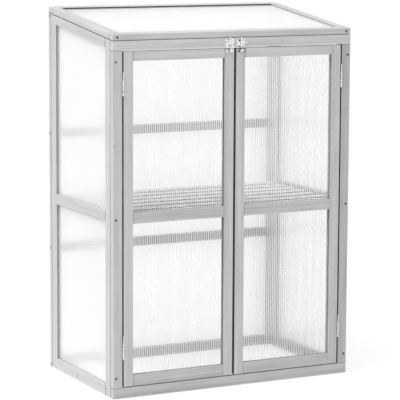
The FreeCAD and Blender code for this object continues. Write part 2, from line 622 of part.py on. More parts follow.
def side_frame(side, name):
    middle = f"{side} * (overall_width - lath_thickness) / 2"
    long = f"({RAIL_BACK} - {RAIL_FRONT})"
    top_rail_drop = f"(side_top_rail_width / cos({ROOF}))"
    mid_top = "(side_mid_rail_height + side_mid_rail_width)"
    head = {y: f"({roof_at(y)} - {top_rail_drop})" for y in (RAIL_FRONT, RAIL_BACK)}
    lower = side_pane(f"{name}_lower_pane", side, "side_bottom_rail_width", "side_mid_rail_height",
                      "side_mid_rail_height")
    upper = side_pane(f"{name}_upper_pane", side, mid_top, head[RAIL_FRONT], head[RAIL_BACK])
    piece(f"{name}_side_panes", group(f"{name}_side_panes", [lower[0], upper[0]]))
    grooves = group(f"{name}_side_grooves", [lower[1], upper[1]])

    for place, front in (("front", INNER_FRONT), ("rear", RAIL_BACK)):
        label = f"{name}_side_{place}_stile"
        stile = box(f"{label}_blank", middle, front, "0", "lath_thickness", "side_stile_width",
                    roof_at(f"({front} + side_stile_width)"))
        piece(label, carve(label, stile, above_roof, grooves, frame_screw_ways))
    for place, low, width in (("bottom", "0", "side_bottom_rail_width"),
                              ("mid", "side_mid_rail_height", "side_mid_rail_width")):
        label = f"{name}_side_{place}_rail"
        rail = box(f"{label}_blank", middle, RAIL_FRONT, low, "lath_thickness", long, width)
        piece(label, carve(label, rail, grooves))
    label = f"{name}_side_top_rail"
    rail = slab(f"{label}_blank", middle,
                [(RAIL_FRONT, head[RAIL_FRONT]), (RAIL_BACK, head[RAIL_BACK]),
                 (RAIL_BACK, roof_at(RAIL_BACK)), (RAIL_FRONT, roof_at(RAIL_FRONT))], "lath_thickness")
    piece(label, carve(label, rail, grooves))


# Back frame

def back_frame():
    inner = "(overall_width - 2 * back_stile_width)"
    names = list(BACK_RAILS)
    panes = []
    for below, above in zip(names, names[1:]):
        low = "({} + {})".format(*BACK_RAILS[below])
        panes.append(upright_pane(f"back_pane_over_{below}_rail", BACK, -1, "0",
                                  (inner, low, BACK_RAILS[above][0])))
    piece("back_panes", group("back_panes", [pane for pane, groove in panes]))
    grooves = group("back_grooves", [groove for pane, groove in panes])

    for side, name in ((-1, "left"), (1, "right")):
        label = f"back_{name}_stile"
        stile = box(f"{label}_blank", f"{side} * ({inner} + back_stile_width) / 2", INNER_BACK, "0",
                    "back_stile_width", "lath_thickness", roof_at(BACK))
        piece(label, carve(label, stile, above_roof, grooves, frame_screw_ways))
    for name, (low, width) in BACK_RAILS.items():
        label = f"back_{name}_rail"
        tall = f"{width} + lath_thickness * {SLOPE}" if name == "top" else width
        rail = box(f"{label}_blank", "0", INNER_BACK, low, inner, "lath_thickness", tall)
        extra = (above_roof, lid_leaf_ways) if name == "top" else ()
        piece(label, carve(label, rail, grooves, frame_screw_ways, *extra))


# Ironwork that stays on the cabinet

def cabinet_ironwork():
    piece("frame_screws", group("frame_screws", frame_screws))
    piece("frame_hinge_leaves",
          group("frame_hinge_leaves", hinge_set("fixed_leaf_at", fixed_leaf, fixed_places)))
    piece("lid_hinge_lower_leaves",
          group("lid_hinge_lower_leaves", hinge_set("lid_low_leaf", fixed_leaf, lid_low_places)))
    pin_places = [(at, None) for side in (-1, 1) for at in door_hinge_places(side)] + lid_low_places
    piece("hinge_pins", group("hinge_pins", hinge_set("pin", hinge_pin, pin_places)))
    screws = hinge_set("fixed_leaf_screws", leaf_screws, fixed_places + lid_low_places)
    screws += [plate for plate, ways in plate_screws]
    piece("frame_hardware_screws", group("frame_hardware_screws", screws))
    piece("bolt_plates", group("bolt_plates", [instance(f"bolt_plate_{side + 1}", bolt_plate, bolt_at(side))
                                               for side in (-1, 1)]))


def bolt_rod(side, name):
    label = f"{name}_bolt_rod"
    piece(label, group(label, [instance(f"{label}_at", bolt_rods[side], bolt_at(side))]))


# Doors

def door(side, name):
    width = DOOR_WIDTH
    middle = f"({side} * (meeting_gap + {width}) / 2)"
    clear = f"({width} - 2 * door_stile_width)"
    rails = {
        "bottom": (DOOR_BOTTOM, "door_bottom_rail_width"),
        "mid": ("door_mid_rail_height", "door_mid_rail_width"),
        "top": (f"({DOOR_TOP} - door_top_rail_width)", "door_top_rail_width"),
    }
    names = list(rails)
    panes = []
    for below, above in zip(names, names[1:]):
        low = "({} + {})".format(*rails[below])
        panes.append(upright_pane(f"{name}_door_pane_over_{below}_rail", FRONT, 1, middle,
                                  (clear, low, rails[above][0])))
    piece(f"{name}_door_panes", group(f"{name}_door_panes", [pane for pane, groove in panes]))
    grooves = group(f"{name}_door_grooves", [groove for pane, groove in panes])

    wood_right = Rotation() if side < 0 else HALF_TURN
    leaf_places = [(at, wood_right) for at in door_hinge_places(side)]
    leaf_ways = group(f"{name}_door_leaf_ways",
                      hinge_set(f"{name}_door_leaf_way", leaf_screw_ways, leaf_places))
    keeper_screws, keeper_ways = bolt_screw_sets(f"{name}_keeper", KEEPER_SCREW_HEIGHTS, side)

    for place, sign, ways in (("hinge", side, leaf_ways), ("meeting", -side, keeper_ways)):
        label = f"{name}_door_{place}_stile"
        stile = box(f"{label}_blank", f"{middle} + {sign} * ({width} - door_stile_width) / 2", FRONT,
                    DOOR_BOTTOM, "door_stile_width", "lath_thickness", f"{DOOR_TOP} - {DOOR_BOTTOM}")
        piece(label, carve(label, stile, grooves, ways))
    for place, (low, rail_width) in rails.items():
        label = f"{name}_door_{place}_rail"
        rail = box(f"{label}_blank", middle, FRONT, low, clear, "lath_thickness", rail_width)
        piece(label, carve(label, rail, grooves))

    label = f"{name}_door_hinge_leaves"
    piece(label, group(label, hinge_set(f"{label}_at", moving_leaf, leaf_places)))
    label = f"{name}_door_screws"
    piece(label, group(label, hinge_set(f"{label}_at", leaf_screws, leaf_places) + [keeper_screws]))
    label = f"{name}_bolt_keeper"
    piece(label, group(label, [instance(f"{label}_at", keeper, bolt_at(side))]))


# Lid

def lid():
    clear_width = "(overall_width - 2 * lid_rail_width)"
    clear_end = f"({LID_LENGTH} - lid_rail_width)"
    pane, groove = roof_pane("lid_pane", clear_width, "lid_rail_width", clear_end)
    piece("lid_pane", pane)

    screws, ways = [], []
    middle_height = "lid_thickness / 2"
    for side in (-1, 1):
        x = f"{side} * (overall_width - lid_rail_width) / 2"
        for end, along, pitch in (("front", "screw_sink", -90), ("back", f"{LID_LENGTH} - screw_sink", 90)):
            for master, kept, kind in ((long_screw, screws, "screw"), (long_screw_way, ways, "way")):
                link = instance(f"lid_{kind}_{end}_{side + 1}", master, ("0", "0", "0"))
                tilt_with_roof(link, x, along, middle_height)
                bind(link, "Placement.Rotation.Angle", f"{ROOF} + {pitch} * 1 deg")
                kept.append(link)
    screw_ways = group("lid_screw_ways", ways)

    upper_places = [(at, LEAF_UP) for at in lid_hinge_places()]
    leaves, leaf_bits, leaf_ways = [], [], []
    for master, kept, kind in ((moving_leaf, leaves, "leaf"), (leaf_screws, leaf_bits, "screws"),
                               (leaf_screw_ways, leaf_ways, "ways")):
        kept.extend(hinge_set(f"lid_upper_{kind}", master, upper_places))
        for link in kept:
            lean = Rotation(Vector(1, 0, 0), number(ROOF))
            link.Placement = Placement(link.Placement.Base, lean.multiply(LEAF_UP))
    leaf_ways = group("lid_upper_leaf_ways", leaf_ways)

    for end, along in (("front", "0"), ("back", clear_end)):
        label = f"lid_{end}_rail"
        rail = lid_box(f"{label}_blank", "0", along, "0", "overall_width", "lid_rail_width", "lid_thickness")
        tools = (groove, screw_ways) if end == "front" else (groove, screw_ways, leaf_ways)
        piece(label, carve(label, rail, *tools))
    for side, name in ((-1, "left"), (1, "right")):
        label = f"lid_{name}_rail"
        rail = lid_box(f"{label}_blank", f"{side} * (overall_width - lid_rail_width) / 2",
                       "lid_rail_width", "0", "lid_rail_width", f"{clear_end} - lid_rail_width",
                       "lid_thickness")
        piece(label, carve(label, rail, groove, screw_ways))
    piece("lid_screws", group("lid_screws", screws))
    piece("lid_hinge_upper_leaves", group("lid_hinge_upper_leaves", leaves))
    piece("lid_hinge_screws", group("lid_hinge_screws", leaf_bits))


# Shelf

def shelf():
    pitch = f"(({INNER_DEPTH} - 2 * shelf_edge_clearance - slat_width) / (slat_count - 1))"
    first = f"({INNER_FRONT} + shelf_edge_clearance)"
    slats = [box(f"slat_{index + 1}", "0", f"{first} + {index} * {pitch}", "shelf_height", SLAT_LENGTH,
                 "slat_width", "slat_thickness") for index in range(int(number("slat_count")))]
    piece("shelf_slats", group("shelf_slats", slats))
    battens = [box(f"batten_{name}", f"{side} * ({SLAT_LENGTH} / 2 - batten_inset - batten_width / 2)", first,
                   "shelf_height - batten_height", "batten_width",
                   f"{INNER_DEPTH} - 2 * shelf_edge_clearance", "batten_height")
               for side, name in ((-1, "left"), (1, "right"))]
    piece("shelf_battens", group("shelf_battens", battens))
    ledgers = [box(f"ledger_{name}", f"{side} * (overall_width / 2 - lath_thickness - ledger_width / 2)",
                   INNER_FRONT, "shelf_height - ledger_height", "ledger_width", INNER_DEPTH, "ledger_height")
               for side, name in ((-1, "left"), (1, "right"))]
    piece("shelf_ledgers", group("shelf_ledgers", ledgers))


# Build every piece

front_frame()
for side, name in ((-1, "left"), (1, "right")):
    side_frame(side, name)
back_frame()
cabinet_ironwork()
for side, name in ((-1, "left"), (1, "right")):
    door(side, name)
    bolt_rod(side, name)
lid()
shelf()
doc.recompute()

# Check every object, then write the sub-parts

for obj in doc.Objects:
    if "Invalid" in obj.State or "Error" in obj.State:
        raise RuntimeError(f"{obj.Label} did not compute: {obj.State}")
for sub_part in pieces:
    if sub_part.Shape.isNull() or not sub_part.Shape.isValid() or not sub_part.Shape.Solids:
        raise RuntimeError(f"{sub_part.Label} has no valid shape")

os.makedirs("parts", exist_ok=True)
for sub_part in pieces:
    sub_part.Shape.exportStep(f"parts/{sub_part.Label}.step")
print(len(pieces), "sub-parts written")
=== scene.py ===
import json
import math
import random

import bmesh
import bpy
from mathutils import Matrix, Vector

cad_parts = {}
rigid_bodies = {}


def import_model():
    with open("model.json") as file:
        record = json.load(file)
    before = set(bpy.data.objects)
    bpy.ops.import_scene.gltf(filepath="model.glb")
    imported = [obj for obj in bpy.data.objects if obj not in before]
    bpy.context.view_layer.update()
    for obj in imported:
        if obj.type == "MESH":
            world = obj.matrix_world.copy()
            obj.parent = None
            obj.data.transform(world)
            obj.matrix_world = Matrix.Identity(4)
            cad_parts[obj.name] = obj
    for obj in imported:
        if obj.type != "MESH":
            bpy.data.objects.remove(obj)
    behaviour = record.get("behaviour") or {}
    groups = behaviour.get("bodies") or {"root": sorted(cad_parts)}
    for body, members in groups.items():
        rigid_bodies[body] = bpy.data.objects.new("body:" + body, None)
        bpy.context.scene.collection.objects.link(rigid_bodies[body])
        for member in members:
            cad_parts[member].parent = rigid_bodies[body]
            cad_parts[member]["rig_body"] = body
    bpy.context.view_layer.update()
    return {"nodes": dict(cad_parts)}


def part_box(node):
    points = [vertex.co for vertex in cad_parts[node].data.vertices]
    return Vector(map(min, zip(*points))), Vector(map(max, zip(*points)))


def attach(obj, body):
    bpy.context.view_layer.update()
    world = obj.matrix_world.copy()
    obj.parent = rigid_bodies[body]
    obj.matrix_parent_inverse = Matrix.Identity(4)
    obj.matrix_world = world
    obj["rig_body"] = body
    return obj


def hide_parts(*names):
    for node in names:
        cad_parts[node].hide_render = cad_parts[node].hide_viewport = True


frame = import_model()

bl_info = {
    "name": "Wooden Mini Greenhouse",
    "version": (1, 0, 0),
    "blender": (4, 5, 0),
    "location": "3D View > Sidebar > Greenhouse",
    "description": "Dresses the packed frame of a small wooden greenhouse cabinet",
    "category": "Object",
}

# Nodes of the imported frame, by kind
FRONT_LATHS = ("front_top_rail", "front_bottom_rail", "front_left_stile", "front_right_stile")
BACK_LATHS = (
    "back_top_rail", "back_upper_rail", "back_lower_rail", "back_bottom_rail",
    "back_left_stile", "back_right_stile",
)
SIDE_LATHS = tuple(
    f"{side}_side_{part}"
    for side in ("left", "right")
    for part in ("front_stile", "rear_stile", "top_rail", "mid_rail", "bottom_rail")
)
DOOR_LATHS = tuple(
    f"{side}_door_{part}"
    for side in ("left", "right")
    for part in ("hinge_stile", "meeting_stile", "top_rail", "mid_rail", "bottom_rail")
)
LID_LATHS = ("lid_front_rail", "lid_back_rail", "lid_left_rail", "lid_right_rail")
SHELF_LATHS = ("shelf_slats", "shelf_battens", "shelf_ledgers")
ALL_FRAME_LATHS = FRONT_LATHS + BACK_LATHS + SIDE_LATHS + DOOR_LATHS + LID_LATHS
PANES = (
    "left_side_panes", "right_side_panes", "back_panes", "left_door_panes", "right_door_panes", "lid_pane",
)
BOLT_FITTINGS = ("bolt_plates", "left_bolt_keeper", "right_bolt_keeper", "left_bolt_rod", "right_bolt_rod")
HINGE_FITTINGS = (
    "frame_hinge_leaves", "left_door_hinge_leaves", "right_door_hinge_leaves", "lid_hinge_lower_leaves",
    "lid_hinge_upper_leaves", "hinge_pins",
)
LONG_SCREWS = ("frame_screws", "lid_screws")
SMALL_SCREWS = ("frame_hardware_screws", "left_door_screws", "right_door_screws", "lid_hinge_screws")

# Finishes of the laths: the material's name, and the slot that it fills
FRAME_FINISH = ("grey_stained_pine", "stained_wood")
SHELF_FINISH = ("grey_shelf_pine", "shelf_wood")

# Painted shade on each kind of side: how deep it lies, from 0 in the open to 1 in the dark
REBATE_DEPTH = 0.22
DEEP_REBATES = {"lid_back_rail": 1.0, "left_door_meeting_stile": 0.5, "left_side_rear_stile": 0.45}
INSIDE_DEPTH = 0.25
SLAT_EDGE_DEPTH = 1.0

# Rails whose arrises beside a gap get painted shade instead of being painted bright as worn, and how deep
# they lie
GAP_ARRIS_DEPTH = 0.9
GAP_RAILS = ("front_top_rail", "left_door_top_rail", "right_door_top_rail", "lid_front_rail")

# Distances in metres at which the next lath or the inside of the cabinet is looked for
GAP_REACHES = (0.002, 0.004, 0.006, 0.009)
JOINT_REACH = 0.0015
INSIDE_REACH = 0.005
HINGE_GAP_REACH = 0.006
LEAF_REACH = 0.001

# Noise cells per metre along a lath, across it and through it
SWAY_CELLS = (1.5, 14, 14)
FIBRE_CELLS = (7, 420, 420)
STREAK_CELLS = (2.2, 75, 75)
BLOTCH_CELLS = (9, 22, 22)

# How far noise bends the growth rings, in metres, and how much each pattern lightens the stain
RING_SWAY = 0.006
RING_SHADE = 0.14
FIBRE_SHADE = 0.9
STREAK_SHADE = 0.9
BLOTCH_SHADE = 0.5
# Eased edges are painted lighter, partly as wear and partly as a painted highlight
WEAR_AND_HIGHLIGHT_SHADE = 0.3

# Height of the grain's relief in metres, and how much other patterns add to that of the fibres
WOOD_RELIEF = 0.0003
STREAK_RELIEF = 0.5
RING_RELIEF = 0.06
KNOT_RELIEF = -0.5

# Roughness of stained wood, and what fibres and knots add to it
WOOD_ROUGHNESS = 0.6
FIBRE_ROUGHNESS = 0.25
KNOT_ROUGHNESS = -0.15

# Heart of the tree beside a lath, and how far along the trunk a lath may be cut, in metres
HEART_REACH = (0.03, 0.09)
GRAIN_SHIFT = 40.0

# How far most laths may differ at random from the mean, and the laths set darker instead:
# painted shade on the horizontal and low rails, and simply darker on the listed stiles
TONE_SPREAD = 0.3
DARKER_LATHS = {
    "door_mid_rail": -1.0,
    "door_bottom_rail": -0.8,
    "door_top_rail": -0.1,
    "door_meeting_stile": -0.4,
    "right_door_hinge_stile": -0.7,
    "front_right_stile": -1.7,
    "front_bottom_rail": -0.9,
    "side_mid_rail": -0.3,
}

# Knots that show through the stain: place, radius and strength
KNOTS = (
    ((-0.380, 0.020, 0.014), 0.007, 0.6),
    ((-0.380, 0.032, 1.043), 0.005, 0.3),
    ((-0.377, -0.230, 0.715), 0.006, 0.25),
    ((-0.283, -0.230, 1.027), 0.004, 0.4),
    ((0.361, -0.230, 0.789), 0.005, 0.35),
    ((0.377, -0.230, 0.271), 0.006, 0.25),
)

# Noise cells per metre in a knot's rim, and the share of its radius that is evenly dark
KNOT_CELLS = (260, 260, 260)
KNOT_HEART = 0.4

# Webs inside the hollow sheet: how far from its middle a web is roughest, and where it ends, in metres
WEB_CORE = 0.0003
WEB_REACH = 0.001

# How the sheet bends light beside a web: share of the pitch, height in metres, roughness and index
LENS_REACH = 0.25
FLUTE_RELIEF = 0.00014
FLUTE_BLUR = 0.005
SHEET_IOR = 1.45

# Where the sheet starts and stops to turn milky, from 0 straight ahead to 1 edge on
SLANT_START = 0.15
SLANT_END = 0.75

# Noise cells per metre in the plating, and how much two of the patterns change its shade
MOTTLE_CELLS = (900, 900, 900)
ROLLING_CELLS = (300, 300, 4000)
SPOT_CELLS = (230, 230, 230)
MOTTLE_SHADE = 0.3
ROLLING_SHADE = 0.16

# Noise values at which a dark spot on the plating starts and is full;
# the spots are partly stains and partly painted shade and reflection
SPOT_START = 0.5
SPOT_FULL = 0.62

# Painted shade on the plating: how much darker it is deep in a gap, and how deep its undersides count
GAP_PAINTED_SHADE = 0.9
UNDERSIDE_PAINTED_SHADE = 0.7

# Gloss of the plating, how much its mottle changes the roughness, and the mottle's height in metres
PLATING_METALLIC = 0.45
FITTING_ROUGHNESS = 0.34
SCREW_ROUGHNESS = 0.4
MOTTLE_ROUGHNESS = 0.2
METAL_RELIEF = 0.00002

# The one screw that is plated brass, and the distances from there at which its colour ends
BRASS_SCREW_PLACE = (-0.371, -0.229, 0.949)
BRASS_SCREW_REACH = (0.008, 0.0088)

# Slope of the roof, from the tops of the cabinet's front and back
FRONT_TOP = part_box("front_top_rail")[1]
BACK_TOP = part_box("back_left_stile")[1]
ROOF_ANGLE = math.atan2(BACK_TOP.z - FRONT_TOP.z, BACK_TOP.y - FRONT_TOP.y)

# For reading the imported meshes: how close places are the same, and which angles are flat or a corner
WELD = 1e-6
FLAT = math.radians(0.5)
CORNER = math.radians(35)

# Least area of a lath's side in square metres, and the share of the broadest that counts as broad
LEAST_SIDE = 2e-5
BROAD_SIDE = 0.6

# Floor: half its width in metres, its noise cells per metre, their contrast, and how much it glows
FLOOR_REACH = 60.0
FLOOR_CELLS = (40, 40, 40)
FLOOR_MOTTLE = 0.02
FLOOR_GLOW = 0.8

# Width of the camera's frame in millimetres
SENSOR_WIDTH = 36


class GreenhouseWood(bpy.types.PropertyGroup):
    """Stained laths."""

    stain: bpy.props.FloatVectorProperty(
        name="Stain", description="Colour of the grey stain",
        subtype="COLOR", size=3, default=(0.482, 0.481, 0.479), min=0, max=1,
    )
    shelf_stain: bpy.props.FloatVectorProperty(
        name="Shelf Stain", description="Colour of the stain on the shelf",
        subtype="COLOR", size=3, default=(0.452, 0.451, 0.449), min=0, max=1,
    )
    contrast: bpy.props.FloatProperty(
        name="Grain Contrast", description="How strongly the grain shows through the stain",
        default=0.42, min=0, max=1, subtype="FACTOR",
    )
    knot: bpy.props.FloatVectorProperty(
        name="Knots", description="Colour of a knot under the stain",
        subtype="COLOR", size=3, default=(0.2, 0.19, 0.175), min=0, max=1,
    )
    board_tone: bpy.props.FloatProperty(
        name="Board Tone", description="How much one lath differs from the next",
        default=0.13, min=0, max=0.5, subtype="FACTOR",
    )
    arris: bpy.props.FloatProperty(
        name="Arris", description="Width of the eased edges",
        default=0.0008, min=0.0001, unit="LENGTH",
    )
    side_arris: bpy.props.FloatProperty(
        name="Side Arris", description="Width of the eased edges of the side and back laths",
        default=0.0012, min=0.0001, unit="LENGTH",
    )
    # Painted shade in gaps, rebates, on the slats' edges and inside the cabinet
    gap_shade: bpy.props.FloatProperty(
        name="Gap Shade", description="How much darker the stain is inside gaps and rebates",
        default=0.88, min=0, max=1, subtype="FACTOR",
    )
    # Painted shade along the joints where two laths meet
    joint_shade: bpy.props.FloatProperty(
        name="Joint Shade", description="How much darker the stain is where two laths meet",
        default=0.95, min=0, max=1, subtype="FACTOR",
    )
    shelf_arris: bpy.props.FloatProperty(
        name="Shelf Arris", description="Width of the slats' eased edges",
        default=0.0012, min=0.0001, unit="LENGTH",
    )
    ring_pitch: bpy.props.FloatProperty(
        name="Ring Pitch", description="Distance between growth rings",
        default=0.0034, min=0.0005, unit="LENGTH",
    )


class GreenhouseGlazing(bpy.types.PropertyGroup):
    """Hollow sheet."""

    flute_pitch: bpy.props.FloatProperty(
        name="Flute Pitch", description="Distance between the webs inside the sheet",
        default=0.006, min=0.001, unit="LENGTH",
    )
    tint: bpy.props.FloatVectorProperty(
        name="Tint", description="Colour of the sheet",
        subtype="COLOR", size=3, default=(0.98, 0.98, 0.976), min=0, max=1,
    )
    shadow_tint: bpy.props.FloatVectorProperty(
        name="Shadow Tint", description="What a face of the sheet lets through of the lamps",
        subtype="COLOR", size=3, default=(0.97, 0.97, 0.97), min=0, max=1,
    )
    web_blur: bpy.props.FloatProperty(
        name="Web Blur", description="How much a web inside the sheet blurs",
        default=0.5, min=0, max=1, subtype="FACTOR",
    )
    slant_cover: bpy.props.FloatProperty(
        name="Slant Cover", description="How milky the sheet looks at a slant",
        default=0.6, min=0, max=1, subtype="FACTOR",
    )
    backlit_share: bpy.props.FloatProperty(
        name="Backlit Share", description="How much of the milky look is lit from behind",
        default=0.5, min=0, max=1, subtype="FACTOR",
    )
    slant_blur: bpy.props.FloatProperty(
        name="Slant Blur", description="How much the sheet blurs when seen at a slant",
        default=0.2, min=0, max=1, subtype="FACTOR",
    )
    edge_ease: bpy.props.FloatProperty(
        name="Edge Ease", description="Width of the cut edges' easing",
        default=0.0003, min=0.00005, unit="LENGTH",
    )


class GreenhouseMetal(bpy.types.PropertyGroup):
    """Hinges, bolts and screws."""

    zinc: bpy.props.FloatVectorProperty(
        name="Zinc", description="Colour of the bright zinc plating",
        subtype="COLOR", size=3, default=(0.88, 0.885, 0.89), min=0, max=1,
    )
    # Near black: partly dark plating, partly painted shade of the sunk holes the screws sit in
    screw: bpy.props.FloatVectorProperty(
        name="Screw", description="Colour of the dark plated long screws",
        subtype="COLOR", size=3, default=(0.055, 0.05, 0.038), min=0, max=1,
    )
    brass: bpy.props.FloatVectorProperty(
        name="Brass", description="Colour of the one brass plated screw",
        subtype="COLOR", size=3, default=(0.2, 0.2, 0.075), min=0, max=1,
    )
    # The bolts' dark spots are partly stains, partly painted shade and reflection
    stain: bpy.props.FloatProperty(
        name="Stain", description="How dark the stains on the bolts' plating are",
        default=0.75, min=0, max=1, subtype="FACTOR",
    )
    # The hinges' dark spots are partly stains, partly painted shade and reflection
    hinge_stain_and_shade: bpy.props.FloatProperty(
        name="Hinge Stain", description="How dark the stains on the hinges' plating are",
        default=0.4, min=0, max=1, subtype="FACTOR",
    )
    sheet_ease: bpy.props.FloatProperty(
        name="Sheet Ease", description="Width of the rounded edges of pressed sheet",
        default=0.00018, min=0.00002, unit="LENGTH",
    )


class GreenhouseStage(bpy.types.PropertyGroup):
    """Camera, lamps and floor."""

    camera_place: bpy.props.FloatVectorProperty(
        name="Camera Place", description="Where the camera stands",
        subtype="TRANSLATION", size=3, default=(-2.6088, -5.1555, 1.3689), unit="LENGTH",
    )
    camera_yaw: bpy.props.FloatProperty(
        name="Yaw", description="Turn of the camera about the vertical",
        default=math.radians(-26.898), subtype="ANGLE",
    )
    camera_pitch: bpy.props.FloatProperty(
        name="Pitch", description="How far the camera looks down",
        default=math.radians(7.732), subtype="ANGLE",
    )
    camera_roll: bpy.props.FloatProperty(
        name="Roll", description="Turn of the camera about its line of sight",
        default=math.radians(0.273), subtype="ANGLE",
    )
    lens: bpy.props.FloatProperty(
        name="Lens", description="Focal length in millimetres on a 36 mm frame",
        default=177.25, min=1, unit="CAMERA",
    )
    shift: bpy.props.FloatProperty(
        name="Rise", description="Vertical shift of the camera's frame", default=-0.06,
    )
    sky: bpy.props.FloatProperty(
        name="Sky", description="Strength of the light from all round", default=0.62, min=0,
    )
    key_strength: bpy.props.FloatProperty(
        name="Key Strength", description="Strength of the large lamp at the upper left",
        default=2.9, min=0,
    )
    key_softness: bpy.props.FloatProperty(
        name="Key Softness", description="Apparent width of that lamp",
        default=math.radians(40), subtype="ANGLE",
    )
    key_direction: bpy.props.FloatVectorProperty(
        name="Key Direction", description="From the object to that lamp",
        subtype="DIRECTION", size=3, default=(-0.44, -0.13, 0.88),
    )
    floor: bpy.props.FloatVectorProperty(
        name="Floor", description="Colour of the floor",
        subtype="COLOR", size=3, default=(0.9, 0.9, 0.9), min=0, max=1,
    )


class Value:
    """A number in a material, on which Python's arithmetic adds Math nodes."""

    def __init__(self, recipe, socket):
        self.recipe = recipe
        self.socket = socket

    def maths(self, operation, *values):
        """A Math node of these values."""
        return self.recipe.node("ShaderNodeMath", {"operation": operation}, dict(enumerate(values)))

    def __add__(self, other):
        return self.maths("ADD", self, other)

    def __radd__(self, other):
        return self.maths("ADD", other, self)

    def __sub__(self, other):
        return self.maths("SUBTRACT", self, other)

    def __rsub__(self, other):
        return self.maths("SUBTRACT", other, self)

    def __mul__(self, other):
        return self.maths("MULTIPLY", self, other)

    def __rmul__(self, other):
        return self.maths("MULTIPLY", other, self)

    def __pow__(self, other):
        return self.maths("POWER", self, other)

    def sine(self):
        """Sine of an angle in radians."""
        return self.maths("SINE", self)

    def wave(self, pitch):
        """Distance to the nearest multiple of pitch, from 0 to half a pitch."""
        return self.maths("PINGPONG", self, pitch / 2)

    def most(self, other):
        """The larger of two values."""
        return self.maths("MAXIMUM", self, other)

    def clamped(self):
        """The value, held between 0 and 1."""
        return self.recipe.node("ShaderNodeClamp", {}, {"Value": self})

    def ramp(self, low, high, start=0.0, end=1.0):
        """Smoothly from start at low to end at high."""
        return self.recipe.node(
            "ShaderNodeMapRange", {"interpolation_type": "SMOOTHSTEP"},
            {"Value": self, "From Min": low, "From Max": high, "To Min": start, "To Max": end},
        )


class Recipe:
    """The node tree of a material or world, filled by one method."""

    def __init__(self, owner):
        owner.use_nodes = True
        self.owner = owner
        self.tree = owner.node_tree
        self.tree.nodes.clear()

    def node(self, kind, settings=None, sockets=None, output=0):
        """Adds a node of this kind, sets it up and gives one of its outputs, if it has any."""
        made = self.tree.nodes.new(kind)
        for key, value in (settings or {}).items():
            setattr(made, key, value)
        for key, value in (sockets or {}).items():
            if isinstance(value, Value):
                self.tree.links.new(value.socket, made.inputs[key])
            else:
                made.inputs[key].default_value = value
        return Value(self, made.outputs[output]) if made.outputs else None

    def mix(self, factor, first, second):
        """A colour between two colours."""
        return self.node("ShaderNodeMix", {"data_type": "RGBA"}, {0: factor, 6: first, 7: second}, 2)

    def blend(self, factor, first, second):
        """A shader between two shaders."""
        return self.node("ShaderNodeMixShader", {}, {0: factor, 1: first, 2: second})

    def vector_maths(self, operation, vector, sockets, output="Vector"):
        """A Vector Math node of this vector and other values."""
        return self.node("ShaderNodeVectorMath", {"operation": operation}, {0: vector, **sockets}, output)

    def shaded(self, colour, brightness):
        """A colour made lighter or darker."""
        return self.vector_maths("SCALE", colour, {"Scale": brightness})

    def distance(self, vector, point):
        """How far a place lies from a point."""
        return self.vector_maths("DISTANCE", vector, {1: point}, "Value")

    def parts(self, vector):
        """The three numbers of a vector."""
        split = self.node("ShaderNodeSeparateXYZ", {}, {"Vector": vector})
        return [Value(self, socket) for socket in split.socket.node.outputs]

    def attribute(self, name, output="Vector"):
        """What the piece's own mesh says under this name."""
        return self.node("ShaderNodeAttribute", {"attribute_name": name}, output=output)

    def place(self):
        """The place on the piece, in its own frame."""
        return self.node("ShaderNodeTexCoord", output="Object")

    def noise(self, vector, cells, detail=2.0):
        """Soft noise from 0 to 1 with this many cells per metre in each direction."""
        return self.node(
            "ShaderNodeTexNoise", {},
            {"Vector": self.vector_maths("MULTIPLY", vector, {1: cells}), "Scale": 1, "Detail": detail},
        )

    def swing(self, vector, cells, detail=2.0):
        """The same noise, moved to lie from -0.5 to 0.5."""
        return self.noise(vector, cells, detail) - 0.5

    def bump(self, height, distance):
        """A normal tilted by a relief of this height."""
        return self.node("ShaderNodeBump", {}, {"Height": height, "Distance": distance, "Strength": 1.0})

    def surface(self, sockets):
        """A Principled shader."""
        return self.node("ShaderNodeBsdfPrincipled", {}, sockets)

    def finish(self, shader, output="ShaderNodeOutputMaterial"):
        """Sends the shader to the tree's output and returns the material or world."""
        self.node(output, {}, {"Surface": shader})
        return self.owner


# Materials

